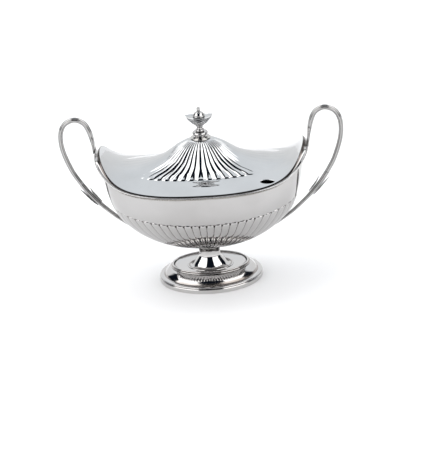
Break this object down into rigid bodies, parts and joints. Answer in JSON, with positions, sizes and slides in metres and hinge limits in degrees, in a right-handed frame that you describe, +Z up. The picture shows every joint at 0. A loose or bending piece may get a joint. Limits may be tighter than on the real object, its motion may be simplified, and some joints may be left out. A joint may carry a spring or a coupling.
{
  "type": "soup tureen",
  "caption": "Oval boat-shaped silver soup tureen on a hollow foot, with lobed lower body, two high loop handles and a lift-off gadrooned lid with an urn finial.",
  "frame": {"origin": "centre of the foot, on the surface the tureen stands on", "axes": "+X along the long axis towards the right-hand handle, -Y towards the front, +Z up"},
  "size_m": [0.4206, 0.202, 0.268],
  "materials": {
    "polished_silver": "highly polished sterling silver with fine wear scratches",
    "shaded_silver": "polished silver with a little dark tarnish in its recesses",
    "hardware": "plain turned metal"
  },
  "bodies": {
    "tureen": {"bowl_shell": "polished_silver", "rim_moulding": "polished_silver", "handle_strap_right": "polished_silver", "handle_strap_left": "polished_silver", "handle_branch_right": "polished_silver", "handle_branch_left": "polished_silver", "handle_leaf_right": "polished_silver", "handle_leaf_left": "polished_silver", "handle_spur_right": "polished_silver", "handle_spur_left": "polished_silver", "foot_spool": "polished_silver", "foot_steps": "polished_silver", "foot_moulding": "polished_silver", "foot_band": "polished_silver", "bead_border": "shaded_silver", "bowl_collar": "shaded_silver"},
    "lid": {"lid_shell": "polished_silver", "finial_base": "polished_silver", "finial_knop": "polished_silver", "finial_stem": "polished_silver", "finial_cup": "polished_silver", "finial_cover": "polished_silver", "finial_button": "polished_silver", "lid_bezel": "shaded_silver", "finial_collar": "shaded_silver", "finial_bolt": "hardware", "finial_washer": "hardware", "finial_nut": "hardware"}
  },
  "joints": [
    {"name": "lid_lift", "type": "slide", "parent": "tureen", "child": "lid", "axis": [0, 0, 1], "range_m": [0, 0.12]}
  ]
}
